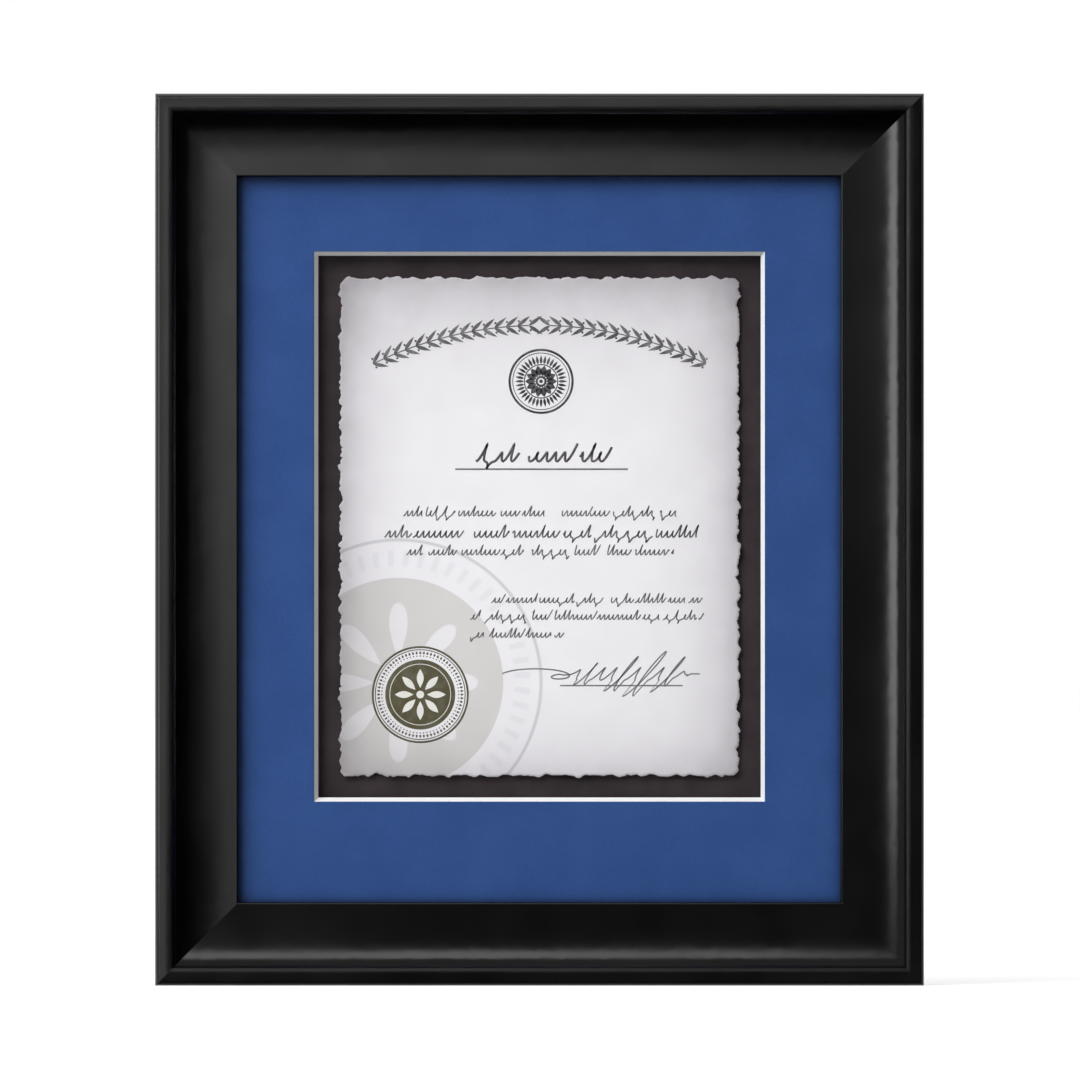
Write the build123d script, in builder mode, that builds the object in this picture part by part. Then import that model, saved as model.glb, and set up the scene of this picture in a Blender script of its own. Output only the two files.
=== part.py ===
from build123d import *

import os
from math import acos, asin, cos, degrees, pi, radians, sin

# Certificate frame: a black scoop moulding with glass, a lifted window mat and a floated sheet.
# Millimetres. X runs to the right as seen from the front, Y runs to the back and Z runs up.
# The origin lies on the bottom edge, midway along it and midway through the overall depth.

# Sheet on show, with deckled edges
sheet_width = 203.2
sheet_height = 254.0
sheet_thickness = 0.35
deckle_depth = 0.95
deckle_wave = 23.0
deckle_corner = 1.8
deckle_steps = 58
deckle_wave_shares = (1.0, 0.47, 0.29)
deckle_height_shares = (0.34, 0.38, 0.28)

# Window mat: how much of the mount board shows round the sheet, and how much mat shows in the frame
reveal = 11.5
mat_thickness = 2.3
mat_border_side = 38.5
mat_border_top = 37.9
mat_border_bottom = 51.2

# Boards and glass, from the front to the back
glass_thickness = 2.0
glass_arris = 0.25
lifter_thickness = 4.8
lifter_width = 24.0
mount_board_thickness = 1.5
filler_thickness = 3.0
backing_thickness = 2.5
pack_clearance = 0.7

# What holds the sheet off the mount board
float_board_thickness = 1.6
float_board_setback = 10.0
tape_thickness = 0.15
tape_width = 12.0
tape_length = 22.0
tape_spacing_share = 0.6

# Moulding section: a rounded outer lip, then one deep cove down to the sight edge
face_width = 42.3
lip_width = 9.2
lip_crown = 2.2
lip_shoulder = 2.4
lip_arris_drop = 1.6
lip_run_share = 0.58
cove_depth = 10.8
cove_end_slope_share = 0.39
sight_round = 1.2
sight_lip_thickness = 2.5
rabbet_width = 6.35
back_arris = 0.8

# V-nails across each mitre
nail_leg = 5.5
nail_thickness = 0.6
nail_depth = 10.0
nail_place_shares = (0.35, 0.75)

# Pan-head wood screws
screw_shank_radius = 1.75
screw_length = 12.7
screw_point = 3.5
screw_head_radius = 3.4
screw_head_height = 2.3
screw_head_rim = 0.9
screw_cross_width = 0.9
screw_cross_length = 3.8
screw_cross_depth = 1.3
pivot_clearance = 0.08

# Turn buttons that hold the boards in
button_thickness = 1.2
button_head_radius = 6.0
button_tip_radius = 3.8
button_reach = 20.0
button_bend = 14.0
button_lift = 1.5
button_bend_radius = 5.0
button_inset = 9.0
button_clearance = 0.2
side_button_shares = (0.17, 0.83)

# Strap hangers and their rings
strap_thickness = 0.9
strap_width = 12.7
strap_tail = 33.0
strap_tail_round = 4.5
strap_hole_clearance = 0.2
strap_first_screw = 9.4
strap_second_screw = 24.0
strap_pinch_angle = 50.0
ring_wire_radius = 1.25
ring_half_width = 9.6
ring_side = 5.5
ring_bend = 2.4
ring_rest_gap = 0.3
hanger_inset = 18.0
hanger_height_share = 0.667

# Wall bumpers at the bottom corners
bumper_radius = 4.75
bumper_height = 3.2
bumper_round = 1.1
bumper_inset = 18.0

# Overrun of a cut past the face that it leaves
overrun = 1.0

# Plan sizes, worked out from the sheet outwards
window_back_width = sheet_width + 2 * reveal
window_back_height = sheet_height + 2 * reveal
window_face_width = window_back_width + 2 * mat_thickness
window_face_height = window_back_height + 2 * mat_thickness
sight_width = window_face_width + 2 * mat_border_side
sight_height = window_face_height + mat_border_top + mat_border_bottom
outer_width = sight_width + 2 * face_width
outer_height = sight_height + 2 * face_width
rabbet_width_across = sight_width + 2 * rabbet_width
rabbet_height_across = sight_height + 2 * rabbet_width
pack_width = rabbet_width_across - 2 * pack_clearance
pack_height = rabbet_height_across - 2 * pack_clearance
frame_centre_z = outer_height / 2
window_centre_z = face_width + mat_border_bottom + window_face_height / 2

# Depths, worked out from the boards and the moulding section
knuckle_radius = ring_wire_radius + pivot_clearance + strap_thickness
pack_depth = glass_thickness + mat_thickness + lifter_thickness + mount_board_thickness
rabbet_depth = pack_depth + filler_thickness + backing_thickness
cove_end_depth = lip_arris_drop + cove_depth
sight_end_depth = cove_end_depth + sight_lip_thickness
moulding_depth = sight_end_depth + rabbet_depth
overall_depth = moulding_depth + 2 * knuckle_radius
crown_y = -overall_depth / 2
rabbet_y = crown_y + sight_end_depth
glass_back_y = rabbet_y + glass_thickness
mat_back_y = glass_back_y + mat_thickness
lifter_back_y = mat_back_y + lifter_thickness
mount_board_back_y = lifter_back_y + mount_board_thickness
filler_back_y = mount_board_back_y + filler_thickness
back_y = filler_back_y + backing_thickness
float_board_front_y = lifter_back_y - float_board_thickness
tape_front_y = float_board_front_y - tape_thickness

right = Vector(1, 0, 0)
up = Vector(0, 0, 1)
backwards = Vector(0, 1, 0)


def facing_front(y):
    """A plane that faces the front at depth y, with X across and Z up."""
    return Plane(origin=(0, y, 0), x_dir=right, z_dir=-backwards)


def on_back(x, z, along, height=0):
    """A plane that faces the wall, height above the moulding's back, with its x axis along."""
    return Plane(origin=(x, back_y + height, z), x_dir=along, z_dir=backwards)


# Wood screw, made once: the head's seat is at zero and the point goes down
with BuildPart() as wood_screw:
    with BuildSketch(Plane.XZ):
        with BuildLine():
            dome = EllipticalCenterArc(
                (0, screw_head_rim), screw_head_radius, screw_head_height - screw_head_rim, 0, arc_size=90
            )
            Polyline(
                dome @ 0,
                (screw_head_radius, 0),
                (screw_shank_radius, 0),
                (screw_shank_radius, screw_point - screw_length),
                (0, -screw_length),
                dome @ 1,
            )
        make_face()
    revolve(axis=Axis.Z)
    with BuildSketch(Plane.XY.offset(screw_head_height)):
        Rectangle(screw_cross_length, screw_cross_width)
        Rectangle(screw_cross_width, screw_cross_length)
    extrude(amount=-screw_cross_depth, mode=Mode.SUBTRACT)

# Turn button, made once: a stamped teardrop whose tip is bent up for a finger
with BuildPart() as turn_button:
    with BuildSketch():
        Circle(button_head_radius)
        with Locations((button_reach, 0)):
            Circle(button_tip_radius)
        make_hull()
    extrude(amount=button_lift + button_thickness)
    button_end = button_reach + button_tip_radius + overrun
    button_start = -button_head_radius - overrun
    with BuildSketch(Plane.XZ) as button_edge:
        with BuildLine():
            Polyline(
                (button_start, 0),
                (button_bend, 0),
                (button_end, button_lift),
                (button_end, button_lift + button_thickness),
                (button_bend, button_thickness),
                (button_start, button_thickness),
                close=True,
            )
        make_face()
        fillet(button_edge.vertices().group_by(Axis.X)[1], radius=button_bend_radius)
    extrude(amount=button_head_radius + overrun, both=True, mode=Mode.INTERSECT)
    Hole(radius=screw_shank_radius + pivot_clearance)

# Strap hanger, made once: one strip folded round the ring's bar, its plies pressed together
pinch_sin = sin(radians(strap_pinch_angle))
pinch_cos = cos(radians(strap_pinch_angle))
bore_radius = ring_wire_radius + pivot_clearance
pinch_top = knuckle_radius + knuckle_radius * pinch_cos
pinch_run = (pinch_top - 2 * strap_thickness) / pinch_sin
pinch_end = -knuckle_radius * pinch_sin - pinch_run * pinch_cos
with BuildPart() as hanger_strap:
    with BuildSketch(Plane.XZ):
        with Locations((0, knuckle_radius)):
            Circle(knuckle_radius)
        with BuildLine():
            Polyline(
                (-knuckle_radius * pinch_sin, pinch_top),
                (pinch_end, 2 * strap_thickness),
                (pinch_end, strap_thickness),
                (-bore_radius * pinch_sin, knuckle_radius + bore_radius * pinch_cos),
                close=True,
            )
        make_face()
        with BuildLine():
            Polyline(
                (-strap_tail, 0),
                (0, 0),
                (0, strap_thickness),
                (pinch_end, strap_thickness),
                (pinch_end, 2 * strap_thickness),
                (-strap_tail, 2 * strap_thickness),
                close=True,
            )
        make_face()
        with Locations((0, knuckle_radius)):
            Circle(bore_radius, mode=Mode.SUBTRACT)
    extrude(amount=strap_width / 2, both=True)
    fillet(hanger_strap.edges().filter_by(Axis.Z).group_by(Axis.X)[0], radius=strap_tail_round)
    with Locations((-strap_first_screw, 0, 0), (-strap_second_screw, 0, 0)):
        Hole(radius=screw_shank_radius + strap_hole_clearance)

# D-ring, made once: it leans on the moulding just above its strap
ring_reach = ring_side + ring_half_width
ring_lean = asin((knuckle_radius - ring_wire_radius - ring_rest_gap) / ring_reach)
ring_plane = Plane(
    origin=(0, 0, knuckle_radius),
    x_dir=(cos(ring_lean), 0, -sin(ring_lean)),
    z_dir=(sin(ring_lean), 0, cos(ring_lean)),
)
with BuildPart() as hanger_ring:
    with BuildLine(ring_plane) as ring_path:
        FilletPolyline(
            (ring_side, -ring_half_width),
            (0, -ring_half_width),
            (0, ring_half_width),
            (ring_side, ring_half_width),
            radius=ring_bend,
        )
        ThreePointArc((ring_side, ring_half_width), (ring_reach, 0), (ring_side, -ring_half_width))
    ring_wire = ring_path.wires()[0]
    with BuildSketch(Plane(origin=ring_wire @ 0, z_dir=ring_wire % 0)):
        Circle(ring_wire_radius)
    sweep(path=ring_wire)

# Wall bumper, made once
with BuildPart() as wall_bumper:
    Cylinder(bumper_radius, bumper_height, align=(Align.CENTER, Align.CENTER, Align.MIN))
    fillet(wall_bumper.edges().group_by(Axis.Z)[-1], radius=bumper_round)

pieces = {}

# Turn buttons: one on the top and bottom rails, two on each side rail
button_x = rabbet_width_across / 2 + button_inset
button_z_top = frame_centre_z + rabbet_height_across / 2 + button_inset
button_z_bottom = frame_centre_z - rabbet_height_across / 2 - button_inset
low_z, high_z = [outer_height * share for share in side_button_shares]
button_places = {
    "turn_button_top": (0, button_z_top, -up),
    "turn_button_bottom": (0, button_z_bottom, up),
    "turn_button_left_upper": (-button_x, high_z, right),
    "turn_button_left_lower": (-button_x, low_z, right),
    "turn_button_right_upper": (button_x, high_z, -right),
    "turn_button_right_lower": (button_x, low_z, -right),
}
for name, (x, z, along) in button_places.items():
    with BuildPart() as placed_button:
        with Locations(on_back(x, z, along, button_clearance)):
            add(turn_button.part)
    pieces[name] = placed_button

# Each button turns freely under its screw's head
button_seat = button_thickness + 2 * button_clearance
with BuildPart() as turn_button_screws:
    with Locations(*[on_back(x, z, right, button_seat) for x, z, along in button_places.values()]):
        add(wood_screw.part)
pieces["turn_button_screws"] = turn_button_screws

# Strap hangers and rings on the side rails, up where a pair of wall hooks takes them
hanger_x = outer_width / 2 - hanger_inset
hanger_z = outer_height * hanger_height_share
for side, x in {"left": -hanger_x, "right": hanger_x}.items():
    with BuildPart() as placed_strap:
        with Locations(on_back(x, hanger_z, up)):
            add(hanger_strap.part)
    pieces[f"hanger_strap_{side}"] = placed_strap
    with BuildPart() as placed_ring:
        with Locations(on_back(x, hanger_z, up)):
            add(hanger_ring.part)
    pieces[f"hanger_ring_{side}"] = placed_ring

with BuildPart() as hanger_screws:
    for x in (-hanger_x, hanger_x):
        for drop in (strap_first_screw, strap_second_screw):
            with Locations(on_back(x, hanger_z - drop, right, 2 * strap_thickness)):
                add(wood_screw.part)
pieces["hanger_screws"] = hanger_screws

# Wall bumpers
bumper_x = outer_width / 2 - bumper_inset
for side, x in {"left": -bumper_x, "right": bumper_x}.items():
    with BuildPart() as placed_bumper:
        with Locations(on_back(x, bumper_inset, right)):
            add(wall_bumper.part)
    pieces[f"wall_bumper_{side}"] = placed_bumper

# V-nails: each has its point on the mitre and a leg in either rail, flush with the back
back_face_width = face_width - rabbet_width
with BuildPart() as corner_v_nails:
    for side in (-1, 1):
        for end in (-1, 1):
            for share in nail_place_shares:
                point_x = side * (outer_width / 2 - share * back_face_width)
                point_z = frame_centre_z + end * (outer_height / 2 - share * back_face_width)
                with BuildSketch(facing_front(back_y)):
                    with BuildLine():
                        Polyline(
                            (point_x, point_z),
                            (point_x + side * nail_leg, point_z),
                            (point_x + side * nail_leg, point_z + end * nail_thickness),
                            (point_x + side * nail_thickness, point_z + end * nail_thickness),
                            (point_x + side * nail_thickness, point_z + end * nail_leg),
                            (point_x, point_z + end * nail_leg),
                            close=True,
                        )
                    make_face()
                extrude(amount=nail_depth)
pieces["corner_v_nails"] = corner_v_nails

# Lip: it slopes gently inwards from its crown and rolls over at the arris, as the last share of a
# quarter ellipse
lip_end_angle = degrees(acos(1 - lip_run_share))
lip_half_width = (lip_width - lip_crown) / lip_run_share
lip_half_depth = lip_arris_drop / sin(radians(lip_end_angle))

# Cove: part of an ellipse that starts upright at the arris and still falls a little at the sight edge,
# by the named share of its mean slope
cove_run = face_width - sight_round - lip_width
cove_end_sin = cove_end_slope_share / (1 - cove_end_slope_share)
cove_end_angle = degrees(asin(cove_end_sin))
cove_half_width = cove_run / (1 - cove_end_sin)
cove_half_depth = cove_depth / cos(radians(cove_end_angle))

# Rails: one section run along each side, mitred at both ends
left_x = -outer_width / 2
right_x = outer_width / 2
rail_runs = {
    "rail_top": (Vector(left_x, crown_y, outer_height), -up, right, outer_width),
    "rail_right": (Vector(right_x, crown_y, outer_height), -right, -up, outer_height),
    "rail_bottom": (Vector(right_x, crown_y, 0), up, -right, outer_width),
    "rail_left": (Vector(left_x, crown_y, 0), right, up, outer_height),
}
for name, (start, inward, run, length) in rail_runs.items():
    with BuildPart() as rail:
        with BuildSketch(Plane(origin=start, x_dir=inward, z_dir=run)):
            with BuildLine():
                EllipticalCenterArc(
                    (lip_crown, lip_shoulder), lip_crown, lip_shoulder, 180, arc_size=90
                )
                EllipticalCenterArc(
                    (lip_width - lip_half_width, lip_arris_drop),
                    lip_half_width,
                    lip_half_depth,
                    -lip_end_angle,
                    arc_size=lip_end_angle,
                )
                EllipticalCenterArc(
                    (lip_width + cove_half_width, lip_arris_drop),
                    cove_half_width,
                    cove_half_depth,
                    180,
                    arc_size=cove_end_angle - 90,
                )
                CenterArc((face_width - sight_round, cove_end_depth + sight_round), sight_round, 270, 90)
                Polyline(
                    (face_width, cove_end_depth + sight_round),
                    (face_width, sight_end_depth),
                    (back_face_width, sight_end_depth),
                    (back_face_width, moulding_depth),
                    (back_arris, moulding_depth),
                    (0, moulding_depth - back_arris),
                    (0, lip_shoulder),
                )
            make_face()
        extrude(amount=length)
        split(bisect_by=Plane(origin=start, z_dir=run - inward))
        split(bisect_by=Plane(origin=start + run * length, z_dir=-run - inward))
        add(corner_v_nails.part, mode=Mode.SUBTRACT)
        add(turn_button_screws.part, mode=Mode.SUBTRACT)
        add(hanger_screws.part, mode=Mode.SUBTRACT)
    pieces[name] = rail

# Glass
with BuildPart() as glass_pane:
    with BuildSketch(facing_front(glass_back_y)):
        with Locations((0, frame_centre_z)):
            Rectangle(pack_width, pack_height)
    extrude(amount=glass_thickness)
    chamfer(glass_pane.edges(), length=glass_arris)
pieces["glass_pane"] = glass_pane

# Window mat, its window cut to a bevel that opens towards the front
with BuildPart() as window_mat:
    with BuildSketch(facing_front(mat_back_y)):
        with Locations((0, frame_centre_z)):
            Rectangle(pack_width, pack_height)
    extrude(amount=mat_thickness)
    with BuildSketch(facing_front(mat_back_y)):
        with Locations((0, window_centre_z)):
            Rectangle(window_back_width, window_back_height)
    with BuildSketch(facing_front(glass_back_y)):
        with Locations((0, window_centre_z)):
            Rectangle(window_face_width, window_face_height)
    loft(mode=Mode.SUBTRACT)
pieces["window_mat"] = window_mat

# Strips that lift the mat: two across the full width and two between them
lifter_side_x = pack_width / 2 - lifter_width / 2
lifter_end_z = pack_height / 2 - lifter_width / 2
lifter_places = {
    "mat_lifter_top": (0, frame_centre_z + lifter_end_z, pack_width, lifter_width),
    "mat_lifter_bottom": (0, frame_centre_z - lifter_end_z, pack_width, lifter_width),
    "mat_lifter_left": (-lifter_side_x, frame_centre_z, lifter_width, pack_height - 2 * lifter_width),
    "mat_lifter_right": (lifter_side_x, frame_centre_z, lifter_width, pack_height - 2 * lifter_width),
}
for name, (x, z, width, height) in lifter_places.items():
    with BuildPart() as lifter:
        with BuildSketch(facing_front(lifter_back_y)):
            with Locations((x, z)):
                Rectangle(width, height)
        extrude(amount=lifter_thickness)
    pieces[name] = lifter


def deckle(distance, side):
    """How far the torn edge stands out from the sheet's mean edge, at a distance along one side."""
    return deckle_depth * sum(
        height * sin(2 * pi * distance / (deckle_wave * length) + side * (2 + order))
        for order, (length, height) in enumerate(zip(deckle_wave_shares, deckle_height_shares))
    )


# Sheet: each side runs from one chipped corner to the next with a torn, wavy edge
sheet_left = -sheet_width / 2
sheet_right = sheet_width / 2
sheet_bottom = window_centre_z - sheet_height / 2
sheet_top = window_centre_z + sheet_height / 2
sheet_sides = (
    (Vector(sheet_left, sheet_bottom), Vector(1, 0), sheet_width),
    (Vector(sheet_right, sheet_bottom), Vector(0, 1), sheet_height),
    (Vector(sheet_right, sheet_top), Vector(-1, 0), sheet_width),
    (Vector(sheet_left, sheet_top), Vector(0, -1), sheet_height),
)
sheet_outline = []
for side, (corner, run, length) in enumerate(sheet_sides):
    outward = Vector(run.Y, -run.X)
    for step in range(deckle_steps):
        distance = deckle_corner + (length - 2 * deckle_corner) * step / (deckle_steps - 1)
        sheet_outline.append(corner + run * distance + outward * deckle(distance, side))

with BuildPart() as certificate_sheet:
    with BuildSketch(facing_front(tape_front_y)):
        with BuildLine():
            Polyline(*sheet_outline, close=True)
        make_face()
    extrude(amount=sheet_thickness)
pieces["certificate_sheet"] = certificate_sheet

# Tissue hinges, hidden between the sheet's top edge and the float board
float_board_width = sheet_width - 2 * float_board_setback
float_board_height = sheet_height - 2 * float_board_setback
tape_x = tape_spacing_share * float_board_width / 2
tape_z = window_centre_z + float_board_height / 2 - tape_length / 2
with BuildPart() as hinge_tapes:
    with BuildSketch(facing_front(float_board_front_y)):
        with Locations((-tape_x, tape_z), (tape_x, tape_z)):
            Rectangle(tape_width, tape_length)
    extrude(amount=tape_thickness)
pieces["hinge_tapes"] = hinge_tapes

with BuildPart() as float_board:
    with BuildSketch(facing_front(lifter_back_y)):
        with Locations((0, window_centre_z)):
            Rectangle(float_board_width, float_board_height)
    extrude(amount=float_board_thickness)
pieces["float_board"] = float_board

# Boards that fill the rabbet behind the window
board_places = {
    "mount_board": (mount_board_back_y, mount_board_thickness),
    "filler_board": (filler_back_y, filler_thickness),
    "backing_board": (back_y, backing_thickness),
}
for name, (board_back_y, thickness) in board_places.items():
    with BuildPart() as board:
        with BuildSketch(facing_front(board_back_y)):
            with Locations((0, frame_centre_z)):
                Rectangle(pack_width, pack_height)
        extrude(amount=thickness)
    pieces[name] = board

# Write one file for each piece
os.makedirs("parts", exist_ok=True)
for name, piece in pieces.items():
    piece.part.label = name
    export_step(piece.part, f"parts/{name}.step")

# Sizes that the record repeats
ring_fold_clear = 2 * strap_thickness + ring_wire_radius + ring_rest_gap - knuckle_radius
ring_swing = 180 + degrees(ring_lean) - degrees(asin(ring_fold_clear / ring_reach))
print(f"{len(pieces)} pieces, {outer_width:.2f} wide, {overall_depth:.2f} deep, {outer_height:.2f} high")
print(f"back face at y {back_y:.3f}, front crown at y {crown_y:.3f}")
print(f"ring axis at x {hanger_x:.3f}, y {back_y + knuckle_radius:.3f}, z {hanger_z:.3f}")
print(f"ring swings {ring_swing:.2f} degrees, inside top {ring_reach - ring_wire_radius:.3f} above its axis")
print(f"button axes at x {button_x:.3f}, z {low_z:.3f}, {high_z:.3f}, {button_z_bottom:.3f}, {button_z_top:.3f}")
print(f"bumper faces at x {bumper_x:.3f}, y {back_y + bumper_height:.3f}, z {bumper_inset:.3f}")
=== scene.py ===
import math

import bmesh
import bpy
from mathutils import Matrix, Vector, noise


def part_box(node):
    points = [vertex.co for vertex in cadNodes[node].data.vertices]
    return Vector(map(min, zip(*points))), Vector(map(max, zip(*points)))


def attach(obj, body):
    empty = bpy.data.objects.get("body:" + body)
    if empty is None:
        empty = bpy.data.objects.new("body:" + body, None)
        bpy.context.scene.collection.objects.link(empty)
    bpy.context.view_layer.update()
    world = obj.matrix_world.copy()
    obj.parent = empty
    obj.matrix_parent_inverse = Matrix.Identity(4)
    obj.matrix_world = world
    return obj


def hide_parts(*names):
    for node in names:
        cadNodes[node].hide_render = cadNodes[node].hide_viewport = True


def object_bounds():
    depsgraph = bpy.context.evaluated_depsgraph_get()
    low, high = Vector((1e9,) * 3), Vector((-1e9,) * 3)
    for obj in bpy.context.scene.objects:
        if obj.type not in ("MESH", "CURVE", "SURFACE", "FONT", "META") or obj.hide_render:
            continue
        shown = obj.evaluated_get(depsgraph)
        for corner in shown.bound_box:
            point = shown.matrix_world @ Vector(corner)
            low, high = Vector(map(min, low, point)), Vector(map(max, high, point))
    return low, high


# Certificate frame: satin black scoop moulding, clear glass, blue window mat, deckled sheet.
# Everything is in metres. The front looks along -Y and the frame stands on z = 0.

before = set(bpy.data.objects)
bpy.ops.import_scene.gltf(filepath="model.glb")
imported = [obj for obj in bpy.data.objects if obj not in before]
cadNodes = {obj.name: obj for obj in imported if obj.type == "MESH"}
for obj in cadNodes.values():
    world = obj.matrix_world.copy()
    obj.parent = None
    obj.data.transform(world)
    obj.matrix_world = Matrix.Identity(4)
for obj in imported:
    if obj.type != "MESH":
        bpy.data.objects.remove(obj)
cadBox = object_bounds()
mm = 0.001
print("frame loaded:", len(cadNodes), "nodes")


# Small tools for node trees

def pictureColour(red, green, blue):
    # a colour as a picture shows it, 0 to 255, turned into the linear one that shaders take
    parts = [part / 255 for part in (red, green, blue)]
    return [part / 12.92 if part <= 0.04045 else ((part + 0.055) / 1.055) ** 2.4 for part in parts] + [1]


def give(tree, socket, value):
    # a link where the value comes from another node, or else a set value
    if isinstance(value, bpy.types.NodeSocket):
        tree.links.new(value, socket)
    else:
        socket.default_value = value


def put(tree, kind, inputs=None, **settings):
    node = tree.nodes.new(kind)
    for name, value in settings.items():
        setattr(node, name, value)
    for name, value in (inputs or {}).items():
        give(tree, node.inputs[name], value)
    return node


def made(tree, kind, inputs=None, **settings):
    # the first output of a new node
    return put(tree, kind, inputs, **settings).outputs[0]


def calc(tree, operation, *values, clamp=False):
    return made(tree, "ShaderNodeMath", dict(enumerate(values)), operation=operation, use_clamp=clamp)


def times(tree, first, second):
    return calc(tree, "MULTIPLY", first, second)


def plus(tree, first, second):
    return calc(tree, "ADD", first, second)


def minus(tree, first, second):
    return calc(tree, "SUBTRACT", first, second)


def smooth(tree, value, start, end, low=0.0, high=1.0):
    # low before start, high after end, and a soft step between them
    node = put(tree, "ShaderNodeMapRange", {
        "Value": value, "From Min": start, "From Max": end, "To Min": low, "To Max": high,
    }, interpolation_type="SMOOTHSTEP")
    return node.outputs["Result"]


def blend(tree, factor, first, second, mode="MIX"):
    node = put(tree, "ShaderNodeMix", data_type="RGBA", blend_type=mode)
    sockets = {socket.identifier: socket for socket in node.inputs}
    for name, value in {"Factor_Float": factor, "A_Color": first, "B_Color": second}.items():
        give(tree, sockets[name], value)
    return next(socket for socket in node.outputs if socket.identifier == "Result_Color")


def between(tree, factor, first, second):
    # a blend of two colours that are given as a picture shows them
    return blend(tree, factor, pictureColour(*first), pictureColour(*second))


def grainNoise(tree, vector, scale, detail=2.0, roughness=0.5):
    node = put(tree, "ShaderNodeTexNoise", {
        "Vector": vector, "Scale": scale, "Detail": detail, "Roughness": roughness,
    })
    return node.outputs["Fac"]


def stretched(tree, vector, scale=(1, 1, 1), turn=(0, 0, 0)):
    return made(tree, "ShaderNodeMapping", {"Vector": vector, "Rotation": turn, "Scale": scale})


def split(tree, vector):
    return put(tree, "ShaderNodeSeparateXYZ", {"Vector": vector}).outputs


def newGroup(name, inputs, outputs, kind="ShaderNodeTree"):
    # an input is given as the number that it starts from, or as its type of socket
    tree = bpy.data.node_groups.new(name, kind)
    for label, value in inputs.items():
        numeric = not isinstance(value, str)
        socketType = {int: "NodeSocketInt", float: "NodeSocketFloat"}[type(value)] if numeric else value
        socket = tree.interface.new_socket(label, in_out="INPUT", socket_type=socketType)
        if numeric:
            socket.default_value = value
    for label, socketType in outputs.items():
        tree.interface.new_socket(label, in_out="OUTPUT", socket_type=socketType)
    return tree, put(tree, "NodeGroupInput").outputs, put(tree, "NodeGroupOutput").inputs


def place(tree, group, inputs):
    kind = "GeometryNodeGroup" if group.bl_idname == "GeometryNodeTree" else "ShaderNodeGroup"
    return put(tree, kind, inputs, node_tree=group).outputs


def newMaterial(name):
    material = bpy.data.materials.new(name)
    material.use_nodes = True
    tree = material.node_tree
    tree.nodes.clear()
    return material, tree, put(tree, "ShaderNodeTexCoord").outputs["Object"]


def finishWith(tree, **inputs):
    # the one shader of a material; spaces in a socket's name are written as underscores
    named = {key.replace("_", " "): value for key, value in inputs.items()}
    put(tree, "ShaderNodeOutputMaterial", {"Surface": made(tree, "ShaderNodeBsdfPrincipled", named)})


def bump(tree, height, strength, distance):
    node = put(tree, "ShaderNodeBump", {"Height": height, "Strength": strength, "Distance": distance})
    return node.outputs["Normal"]


def paint(nodeNames, material):
    for name in nodeNames:
        slots = cadNodes[name].data.materials
        slots.clear()
        slots.append(material)


def addPiece(mesh, name, body="root", replaced=()):
    piece = bpy.data.objects.new(name, mesh)
    bpy.context.scene.collection.objects.link(piece)
    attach(piece, body)
    if replaced:
        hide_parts(*replaced)
    return piece


# Effects that several finishes share

floatSocket, vectorSocket = "NodeSocketFloat", "NodeSocketVector"

boardFibre, given, result = newGroup(
    "Board Fibre",
    {"Vector": vectorSocket, "Fibre Scale": 900.0, "Cloud Scale": 40.0},
    {"Height": floatSocket, "Cloud": floatSocket},
)
tree, spot = boardFibre, given["Vector"]
fine = grainNoise(tree, spot, given["Fibre Scale"], 3.0, 0.65)
felted = put(tree, "ShaderNodeTexVoronoi", {
    "Vector": spot, "Scale": times(tree, given["Fibre Scale"], 0.55),
}).outputs["Distance"]
tree.links.new(plus(tree, times(tree, fine, 0.7), times(tree, felted, 0.3)), result["Height"])
tree.links.new(grainNoise(tree, spot, given["Cloud Scale"], 4.0, 0.6), result["Cloud"])

handlingMarks, given, result = newGroup(
    "Handling Marks",
    {"Vector": vectorSocket, "Smear Scale": 30.0, "Scratch Scale": 260.0},
    {"Smear": floatSocket, "Scratch": floatSocket},
)
tree, spot = handlingMarks, given["Vector"]
smears = grainNoise(tree, spot, given["Smear Scale"], 3.0, 0.6)
tree.links.new(smooth(tree, smears, 0.3, 0.7), result["Smear"])
drawnOut = stretched(tree, spot, (1, 1, 0.06), (0.2, 0, 0.6))
scratches = grainNoise(tree, drawnOut, given["Scratch Scale"], 1.0, 0.5)
tree.links.new(smooth(tree, scratches, 0.68, 0.74), result["Scratch"])

# about how many features lie in a metre across the grain, and what share of that along it, on Z
grainScales = {
    "rings": (118.0, 0.05), "streaks": (330.0, 0.02), "drift": (26.0, 0.2), "pores": (1500.0, 0.03),
}

woodGrain, given, result = newGroup(
    "Wood Grain", {"Vector": vectorSocket}, {"Figure": floatSocket, "Pores": floatSocket}
)
tree = woodGrain
drawn = {
    name: stretched(tree, given["Vector"], (1, 1, share)) for name, (scale, share) in grainScales.items()
}
rings = put(tree, "ShaderNodeTexWave", {
    "Vector": drawn["rings"], "Scale": grainScales["rings"][0], "Distortion": 5.5,
    "Detail": 4.0, "Detail Scale": 1.1, "Detail Roughness": 0.62,
}, wave_type="RINGS", rings_direction="Z").outputs["Fac"]
streaks = grainNoise(tree, drawn["streaks"], grainScales["streaks"][0], 3.0, 0.6)
drift = grainNoise(tree, drawn["drift"], grainScales["drift"][0])
poreLines = grainNoise(tree, drawn["pores"], grainScales["pores"][0], 2.0, 0.6)
streaks = times(tree, smooth(tree, streaks, 0.3, 0.72), 0.5)
tree.links.new(plus(tree, times(tree, times(tree, rings, drift), 0.8), streaks), result["Figure"])
tree.links.new(smooth(tree, poreLines, 0.5, 0.72), result["Pores"])
print("shared effects ready")


# Moulding: sprayed satin black on the front and sides, bare wood on the back

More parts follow.
